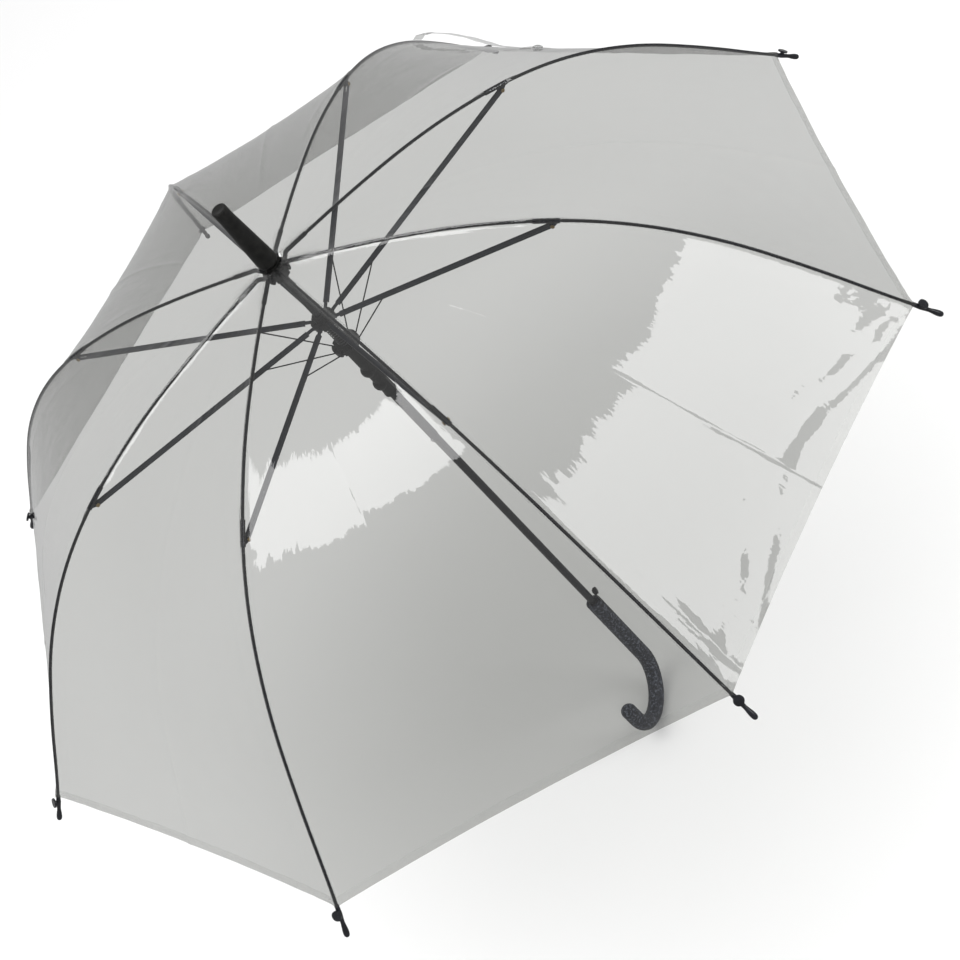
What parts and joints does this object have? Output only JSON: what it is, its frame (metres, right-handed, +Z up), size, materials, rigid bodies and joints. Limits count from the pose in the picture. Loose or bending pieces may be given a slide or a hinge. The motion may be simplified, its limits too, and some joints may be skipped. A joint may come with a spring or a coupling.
{
  "type": "umbrella",
  "caption": "Open clear dome umbrella with a straight shaft, hinged ribs and stretchers, a sliding two-part runner, a push-button catch and a crook handle.",
  "frame": {"origin": "on the shaft's axis at the middle of the straight grip", "axes": "+Z up the shaft to the ferrule; the crook opens towards +X; rib 1 lies over +X"},
  "size_m": [1.0614, 1.0614, 0.8804],
  "materials": {
    "steel_black": "satin black enamel on steel",
    "plastic_black": "moulded black plastic, light grain",
    "handle_black": "matte black moulded grip, fine grain",
    "tube_steel": "gloss black enamel on steel tube",
    "spring_steel": "bare spring wire",
    "film_clear": "clear heat-sealed film",
    "rib_steel": "black enamel on steel rod, brass-coloured rivet"
  },
  "bodies": {
    "frame": {"shaft": "steel_black", "ferrule_cap": "plastic_black", "top_notch": "plastic_black", "rib_tie_wire": "steel_black", "handle": "handle_black"},
    "runner": {"runner_crown": "plastic_black", "main_spring": "spring_steel"},
    "lower_runner": {"lower_sleeve": "plastic_black", "runner_tube": "tube_steel"},
    "release_button": {"release_button": "plastic_black"},
    "open_catch": {"open_catch": "spring_steel"},
    "rib_upper_1": {"rib_upper_1": "rib_steel"},
    "rib_lower_1": {"rib_lower_1": "rib_steel"},
    "stretcher_1": {"stretcher_1": "steel_black"},
    "assist_wire_1": {"assist_wire_1": "steel_black"},
    "gore_upper_1": {"gore_upper_1": "film_clear"},
    "gore_lower_1": {"gore_lower_1": "film_clear"},
    "rib_upper_2": {"rib_upper_2": "rib_steel"},
    "rib_lower_2": {"rib_lower_2": "rib_steel"},
    "stretcher_2": {"stretcher_2": "steel_black"},
    "assist_wire_2": {"assist_wire_2": "steel_black"},
    "gore_upper_2": {"gore_upper_2": "film_clear"},
    "gore_lower_2": {"gore_lower_2": "film_clear"},
    "rib_upper_3": {"rib_upper_3": "rib_steel"},
    "rib_lower_3": {"rib_lower_3": "rib_steel"},
    "stretcher_3": {"stretcher_3": "steel_black"},
    "assist_wire_3": {"assist_wire_3": "steel_black"},
    "gore_upper_3": {"gore_upper_3": "film_clear"},
    "gore_lower_3": {"gore_lower_3": "film_clear"},
    "rib_upper_4": {"rib_upper_4": "rib_steel"},
    "rib_lower_4": {"rib_lower_4": "rib_steel"},
    "stretcher_4": {"stretcher_4": "steel_black"},
    "assist_wire_4": {"assist_wire_4": "steel_black"},
    "gore_upper_4": {"gore_upper_4": "film_clear"},
    "gore_lower_4": {"gore_lower_4": "film_clear", "closure_strap": "film_clear"},
    "rib_upper_5": {"rib_upper_5": "rib_steel"},
    "rib_lower_5": {"rib_lower_5": "rib_steel"},
    "stretcher_5": {"stretcher_5": "steel_black"},
    "assist_wire_5": {"assist_wire_5": "steel_black"},
    "gore_upper_5": {"gore_upper_5": "film_clear"},
    "gore_lower_5": {"gore_lower_5": "film_clear"},
    "rib_upper_6": {"rib_upper_6": "rib_steel"},
    "rib_lower_6": {"rib_lower_6": "rib_steel"},
    "stretcher_6": {"stretcher_6": "steel_black"},
    "assist_wire_6": {"assist_wire_6": "steel_black"},
    "gore_upper_6": {"gore_upper_6": "film_clear"},
    "gore_lower_6": {"gore_lower_6": "film_clear"},
    "rib_upper_7": {"rib_upper_7": "rib_steel"},
    "rib_lower_7": {"rib_lower_7": "rib_steel"},
    "stretcher_7": {"stretcher_7": "steel_black"},
    "assist_wire_7": {"assist_wire_7": "steel_black"},
    "gore_upper_7": {"gore_upper_7": "film_clear"},
    "gore_lower_7": {"gore_lower_7": "film_clear"},
    "rib_upper_8": {"rib_upper_8": "rib_steel"},
    "rib_lower_8": {"rib_lower_8": "rib_steel"},
    "stretcher_8": {"stretcher_8": "steel_black"},
    "assist_wire_8": {"assist_wire_8": "steel_black"},
    "gore_upper_8": {"gore_upper_8": "film_clear"},
    "gore_lower_8": {"gore_lower_8": "film_clear"}
  },
  "joints": [
    {"name": "rib_1_fold", "type": "hinge", "parent": "frame", "child": "rib_upper_1", "pos_m": [0.01, 0, 0.677], "axis": [0, 1, 0], "range_deg": [0, 80.57], "stiffness_Nm_per_rad": 1.2, "springref_deg": -91.67},
    {"name": "rib_1_flex", "type": "hinge", "parent": "rib_upper_1", "child": "rib_lower_1", "pos_m": [0.27642, 0, 0.63988], "axis": [0, 1, 0], "range_deg": [-33.96, 0.4]},
    {"name": "stretcher_1_pivot", "type": "hinge", "parent": "rib_upper_1", "child": "stretcher_1", "pos_m": [0.26682, 0, 0.63841], "axis": [0, 1, 0], "range_deg": [-161.54, 0.4]},
    {"name": "assist_wire_1_pivot", "type": "hinge", "parent": "stretcher_1", "child": "assist_wire_1", "pos_m": [0.07338, 0, 0.60874], "axis": [0, 1, 0], "range_deg": [-0.4, 28.31]},
    {"name": "gore_1_fold", "type": "hinge", "parent": "frame", "child": "gore_upper_1", "pos_m": [0.00854, 0.00354, 0.687], "axis": [-0.3827, 0.9239, 0], "range_deg": [-0.4, 78.42], "deforming": ["gore_upper_1"]},
    {"name": "gore_1_flex", "type": "hinge", "parent": "gore_upper_1", "child": "gore_lower_1", "pos_m": [0.23014, 0.09533, 0.64559], "axis": [-0.3827, 0.9239, 0], "range_deg": [-32.68, 0.4], "deforming": ["gore_lower_1"]},
    {"name": "rib_2_fold", "type": "hinge", "parent": "frame", "child": "rib_upper_2", "pos_m": [0.00707, 0.00707, 0.677], "axis": [-0.7071, 0.7071, 0], "range_deg": [-0.4, 80.97]},
    {"name": "rib_2_flex", "type": "hinge", "parent": "rib_upper_2", "child": "rib_lower_2", "pos_m": [0.19546, 0.19546, 0.63988], "axis": [-0.7071, 0.7071, 0], "range_deg": [-33.96, 0.4]},
    {"name": "stretcher_2_pivot", "type": "hinge", "parent": "rib_upper_2", "child": "stretcher_2", "pos_m": [0.18867, 0.18867, 0.63841], "axis": [-0.7071, 0.7071, 0], "range_deg": [-161.54, 0.4]},
    {"name": "assist_wire_2_pivot", "type": "hinge", "parent": "stretcher_2", "child": "assist_wire_2", "pos_m": [0.05189, 0.05189, 0.60874], "axis": [-0.7071, 0.7071, 0], "range_deg": [-0.4, 28.31]},
    {"name": "gore_2_fold", "type": "hinge", "parent": "frame", "child": "gore_upper_2", "pos_m": [0.00354, 0.00854, 0.687], "axis": [-0.9239, 0.3827, 0], "range_deg": [-0.4, 78.42], "deforming": ["gore_upper_2"]},
    {"name": "gore_2_flex", "type": "hinge", "parent": "gore_upper_2", "child": "gore_lower_2", "pos_m": [0.09533, 0.23014, 0.64559], "axis": [-0.9239, 0.3827, 0], "range_deg": [-32.68, 0.4], "deforming": ["gore_lower_2"]},
    {"name": "rib_3_fold", "type": "hinge", "parent": "frame", "child": "rib_upper_3", "pos_m": [0, 0.01, 0.677], "axis": [-1, 0, 0], "range_deg": [-0.4, 80.97]},
    {"name": "rib_3_flex", "type": "hinge", "parent": "rib_upper_3", "child": "rib_lower_3", "pos_m": [0, 0.27642, 0.63988], "axis": [-1, 0, 0], "range_deg": [-33.96, 0.4]},
    {"name": "stretcher_3_pivot", "type": "hinge", "parent": "rib_upper_3", "child": "stretcher_3", "pos_m": [0, 0.26682, 0.63841], "axis": [-1, 0, 0], "range_deg": [-161.54, 0.4]},
    {"name": "assist_wire_3_pivot", "type": "hinge", "parent": "stretcher_3", "child": "assist_wire_3", "pos_m": [0, 0.07338, 0.60874], "axis": [-1, 0, 0], "range_deg": [-0.4, 28.31]},
    {"name": "gore_3_fold", "type": "hinge", "parent": "frame", "child": "gore_upper_3", "pos_m": [-0.00354, 0.00854, 0.687], "axis": [-0.9239, -0.3827, 0], "range_deg": [-0.4, 78.42], "deforming": ["gore_upper_3"]},
    {"name": "gore_3_flex", "type": "hinge", "parent": "gore_upper_3", "child": "gore_lower_3", "pos_m": [-0.09533, 0.23014, 0.64559], "axis": [-0.9239, -0.3827, 0], "range_deg": [-32.68, 0.4], "deforming": ["gore_lower_3"]},
    {"name": "rib_4_fold", "type": "hinge", "parent": "frame", "child": "rib_upper_4", "pos_m": [-0.00707, 0.00707, 0.677], "axis": [-0.7071, -0.7071, 0], "range_deg": [-0.4, 80.97]},
    {"name": "rib_4_flex", "type": "hinge", "parent": "rib_upper_4", "child": "rib_lower_4", "pos_m": [-0.19546, 0.19546, 0.63988], "axis": [-0.7071, -0.7071, 0], "range_deg": [-33.96, 0.4]},
    {"name": "stretcher_4_pivot", "type": "hinge", "parent": "rib_upper_4", "child": "stretcher_4", "pos_m": [-0.18867, 0.18867, 0.63841], "axis": [-0.7071, -0.7071, 0], "range_deg": [-161.54, 0.4]},
    {"name": "assist_wire_4_pivot", "type": "hinge", "parent": "stretcher_4", "child": "assist_wire_4", "pos_m": [-0.05189, 0.05189, 0.60874], "axis": [-0.7071, -0.7071, 0], "range_deg": [-0.4, 28.31]},
    {"name": "gore_4_fold", "type": "hinge", "parent": "frame", "child": "gore_upper_4", "pos_m": [-0.00854, 0.00354, 0.687], "axis": [-0.3827, -0.9239, 0], "range_deg": [-0.4, 78.42], "deforming": ["gore_upper_4"]},
    {"name": "gore_4_flex", "type": "hinge", "parent": "gore_upper_4", "child": "gore_lower_4", "pos_m": [-0.23014, 0.09533, 0.64559], "axis": [-0.3827, -0.9239, 0], "range_deg": [-32.68, 0.4], "deforming": ["gore_lower_4", "closure_strap"]},
    {"name": "rib_5_fold", "type": "hinge", "parent": "frame", "child": "rib_upper_5", "pos_m": [-0.01, 0, 0.677], "axis": [0, -1, 0], "range_deg": [-0.4, 80.97]},
    {"name": "rib_5_flex", "type": "hinge", "parent": "rib_upper_5", "child": "rib_lower_5", "pos_m": [-0.27642, 0, 0.63988], "axis": [0, -1, 0], "range_deg": [-33.96, 0.4]},
    {"name": "stretcher_5_pivot", "type": "hinge", "parent": "rib_upper_5", "child": "stretcher_5", "pos_m": [-0.26682, 0, 0.63841], "axis": [0, -1, 0], "range_deg": [-161.54, 0.4]},
    {"name": "assist_wire_5_pivot", "type": "hinge", "parent": "stretcher_5", "child": "assist_wire_5", "pos_m": [-0.07338, 0, 0.60874], "axis": [0, -1, 0], "range_deg": [-0.4, 28.31]},
    {"name": "gore_5_fold", "type": "hinge", "parent": "frame", "child": "gore_upper_5", "pos_m": [-0.00854, -0.00354, 0.687], "axis": [0.3827, -0.9239, 0], "range_deg": [-0.4, 78.42], "deforming": ["gore_upper_5"]},
    {"name": "gore_5_flex", "type": "hinge", "parent": "gore_upper_5", "child": "gore_lower_5", "pos_m": [-0.23014, -0.09533, 0.64559], "axis": [0.3827, -0.9239, 0], "range_deg": [-32.68, 0.4], "deforming": ["gore_lower_5"]},
    {"name": "rib_6_fold", "type": "hinge", "parent": "frame", "child": "rib_upper_6", "pos_m": [-0.00707, -0.00707, 0.677], "axis": [0.7071, -0.7071, 0], "range_deg": [-0.4, 80.97]},
    {"name": "rib_6_flex", "type": "hinge", "parent": "rib_upper_6", "child": "rib_lower_6", "pos_m": [-0.19546, -0.19546, 0.63988], "axis": [0.7071, -0.7071, 0], "range_deg": [-33.96, 0.4]},
    {"name": "stretcher_6_pivot", "type": "hinge", "parent": "rib_upper_6", "child": "stretcher_6", "pos_m": [-0.18867, -0.18867, 0.63841], "axis": [0.7071, -0.7071, 0], "range_deg": [-161.54, 0.4]},
    {"name": "assist_wire_6_pivot", "type": "hinge", "parent": "stretcher_6", "child": "assist_wire_6", "pos_m": [-0.05189, -0.05189, 0.60874], "axis": [0.7071, -0.7071, 0], "range_deg": [-0.4, 28.31]},
    {"name": "gore_6_fold", "type": "hinge", "parent": "frame", "child": "gore_upper_6", "pos_m": [-0.00354, -0.00854, 0.687], "axis": [0.9239, -0.3827, 0], "range_deg": [-0.4, 78.42], "deforming": ["gore_upper_6"]},
    {"name": "gore_6_flex", "type": "hinge", "parent": "gore_upper_6", "child": "gore_lower_6", "pos_m": [-0.09533, -0.23014, 0.64559], "axis": [0.9239, -0.3827, 0], "range_deg": [-32.68, 0.4], "deforming": ["gore_lower_6"]},
    {"name": "rib_7_fold", "type": "hinge", "parent": "frame", "child": "rib_upper_7", "pos_m": [0, -0.01, 0.677], "axis": [1, 0, 0], "range_deg": [-0.4, 80.97]},
    {"name": "rib_7_flex", "type": "hinge", "parent": "rib_upper_7", "child": "rib_lower_7", "pos_m": [0, -0.27642, 0.63988], "axis": [1, 0, 0], "range_deg": [-33.96, 0.4]},
    {"name": "stretcher_7_pivot", "type": "hinge", "parent": "rib_upper_7", "child": "stretcher_7", "pos_m": [0, -0.26682, 0.63841], "axis": [1, 0, 0], "range_deg": [-161.54, 0.4]},
    {"name": "assist_wire_7_pivot", "type": "hinge", "parent": "stretcher_7", "child": "assist_wire_7", "pos_m": [0, -0.07338, 0.60874], "axis": [1, 0, 0], "range_deg": [-0.4, 28.31]},
    {"name": "gore_7_fold", "type": "hinge", "parent": "frame", "child": "gore_upper_7", "pos_m": [0.00354, -0.00854, 0.687], "axis": [0.9239, 0.3827, 0], "range_deg": [-0.4, 78.42], "deforming": ["gore_upper_7"]},
    {"name": "gore_7_flex", "type": "hinge", "parent": "gore_upper_7", "child": "gore_lower_7", "pos_m": [0.09533, -0.23014, 0.64559], "axis": [0.9239, 0.3827, 0], "range_deg": [-32.68, 0.4], "deforming": ["gore_lower_7"]},
    {"name": "rib_8_fold", "type": "hinge", "parent": "frame", "child": "rib_upper_8", "pos_m": [0.00707, -0.00707, 0.677], "axis": [0.7071, 0.7071, 0], "range_deg": [-0.4, 80.97]},
    {"name": "rib_8_flex", "type": "hinge", "parent": "rib_upper_8", "child": "rib_lower_8", "pos_m": [0.19546, -0.19546, 0.63988], "axis": [0.7071, 0.7071, 0], "range_deg": [-33.96, 0.4]},
    {"name": "stretcher_8_pivot", "type": "hinge", "parent": "rib_upper_8", "child": "stretcher_8", "pos_m": [0.18867, -0.18867, 0.63841], "axis": [0.7071, 0.7071, 0], "range_deg": [-161.54, 0.4]},
    {"name": "assist_wire_8_pivot", "type": "hinge", "parent": "stretcher_8", "child": "assist_wire_8", "pos_m": [0.05189, -0.05189, 0.60874], "axis": [0.7071, 0.7071, 0], "range_deg": [-0.4, 28.31]},
    {"name": "gore_8_fold", "type": "hinge", "parent": "frame", "child": "gore_upper_8", "pos_m": [0.00854, -0.00354, 0.687], "axis": [0.3827, 0.9239, 0], "range_deg": [-0.4, 78.42], "deforming": ["gore_upper_8"]},
    {"name": "gore_8_flex", "type": "hinge", "parent": "gore_upper_8", "child": "gore_lower_8", "pos_m": [0.23014, -0.09533, 0.64559], "axis": [0.3827, 0.9239, 0], "range_deg": [-32.68, 0.4], "deforming": ["gore_lower_8"]},
    {"name": "runner_pivot", "type": "hinge", "parent": "stretcher_1", "child": "runner", "pos_m": [0.01, 0, 0.59982], "axis": [0, 1, 0], "range_deg": [-0.4, 80.97]},
    {"name": "lower_runner_slide", "type": "slide", "parent": "runner", "child": "lower_runner", "axis": [0, 0, 1], "range_m": [-0.0005, 0.02619], "deforming": ["main_spring"]},
    {"name": "release_button_press", "type": "slide", "parent": "frame", "child": "release_button", "axis": [0.3827, -0.9239, 0], "range_m": [0, 0.0011], "stiffness_N_per_m": 400, "springref_m": -0.001},
    {"name": "open_catch_press", "type": "slide", "parent": "frame", "child": "open_catch", "axis": [-0.7071, 0.7071, 0], "range_m": [0, 0.0015], "stiffness_N_per_m": 300, "springref_m": -0.001}
  ],
  "couplings": [
    {"joint": "rib_1_flex", "follows": "rib_1_fold", "ratio": -0.41647},
    {"joint": "stretcher_1_pivot", "follows": "rib_1_fold", "ratio": -2},
    {"joint": "assist_wire_1_pivot", "follows": "rib_1_fold", "ratio": 0.3464},
    {"joint": "gore_1_fold", "follows": "rib_1_fold", "ratio": 0.96836},
    {"joint": "gore_1_flex", "follows": "rib_1_fold", "ratio": -0.40066},
    {"joint": "rib_2_fold", "follows": "rib_1_fold", "ratio": 1},
    {"joint": "rib_2_flex", "follows": "rib_1_fold", "ratio": -0.41647},
    {"joint": "stretcher_2_pivot", "follows": "rib_1_fold", "ratio": -2},
    {"joint": "assist_wire_2_pivot", "follows": "rib_1_fold", "ratio": 0.3464},
    {"joint": "gore_2_fold", "follows": "rib_1_fold", "ratio": 0.96836},
    {"joint": "gore_2_flex", "follows": "rib_1_fold", "ratio": -0.40066},
    {"joint": "rib_3_fold", "follows": "rib_1_fold", "ratio": 1},
    {"joint": "rib_3_flex", "follows": "rib_1_fold", "ratio": -0.41647},
    {"joint": "stretcher_3_pivot", "follows": "rib_1_fold", "ratio": -2},
    {"joint": "assist_wire_3_pivot", "follows": "rib_1_fold", "ratio": 0.3464},
    {"joint": "gore_3_fold", "follows": "rib_1_fold", "ratio": 0.96836},
    {"joint": "gore_3_flex", "follows": "rib_1_fold", "ratio": -0.40066},
    {"joint": "rib_4_fold", "follows": "rib_1_fold", "ratio": 1},
    {"joint": "rib_4_flex", "follows": "rib_1_fold", "ratio": -0.41647},
    {"joint": "stretcher_4_pivot", "follows": "rib_1_fold", "ratio": -2},
    {"joint": "assist_wire_4_pivot", "follows": "rib_1_fold", "ratio": 0.3464},
    {"joint": "gore_4_fold", "follows": "rib_1_fold", "ratio": 0.96836},
    {"joint": "gore_4_flex", "follows": "rib_1_fold", "ratio": -0.40066},
    {"joint": "rib_5_fold", "follows": "rib_1_fold", "ratio": 1},
    {"joint": "rib_5_flex", "follows": "rib_1_fold", "ratio": -0.41647},
    {"joint": "stretcher_5_pivot", "follows": "rib_1_fold", "ratio": -2},
    {"joint": "assist_wire_5_pivot", "follows": "rib_1_fold", "ratio": 0.3464},
    {"joint": "gore_5_fold", "follows": "rib_1_fold", "ratio": 0.96836},
    {"joint": "gore_5_flex", "follows": "rib_1_fold", "ratio": -0.40066},
    {"joint": "rib_6_fold", "follows": "rib_1_fold", "ratio": 1},
    {"joint": "rib_6_flex", "follows": "rib_1_fold", "ratio": -0.41647},
    {"joint": "stretcher_6_pivot", "follows": "rib_1_fold", "ratio": -2},
    {"joint": "assist_wire_6_pivot", "follows": "rib_1_fold", "ratio": 0.3464},
    {"joint": "gore_6_fold", "follows": "rib_1_fold", "ratio": 0.96836},
    {"joint": "gore_6_flex", "follows": "rib_1_fold", "ratio": -0.40066},
    {"joint": "rib_7_fold", "follows": "rib_1_fold", "ratio": 1},
    {"joint": "rib_7_flex", "follows": "rib_1_fold", "ratio": -0.41647},
    {"joint": "stretcher_7_pivot", "follows": "rib_1_fold", "ratio": -2},
    {"joint": "assist_wire_7_pivot", "follows": "rib_1_fold", "ratio": 0.3464},
    {"joint": "gore_7_fold", "follows": "rib_1_fold", "ratio": 0.96836},
    {"joint": "gore_7_flex", "follows": "rib_1_fold", "ratio": -0.40066},
    {"joint": "rib_8_fold", "follows": "rib_1_fold", "ratio": 1},
    {"joint": "rib_8_flex", "follows": "rib_1_fold", "ratio": -0.41647},
    {"joint": "stretcher_8_pivot", "follows": "rib_1_fold", "ratio": -2},
    {"joint": "assist_wire_8_pivot", "follows": "rib_1_fold", "ratio": 0.3464},
    {"joint": "gore_8_fold", "follows": "rib_1_fold", "ratio": 0.96836},
    {"joint": "gore_8_flex", "follows": "rib_1_fold", "ratio": -0.40066},
    {"joint": "runner_pivot", "follows": "rib_1_fold", "ratio": 1},
    {"joint": "lower_runner_slide", "follows": "rib_1_fold", "m_per_rad": 0.018266}
  ]
}
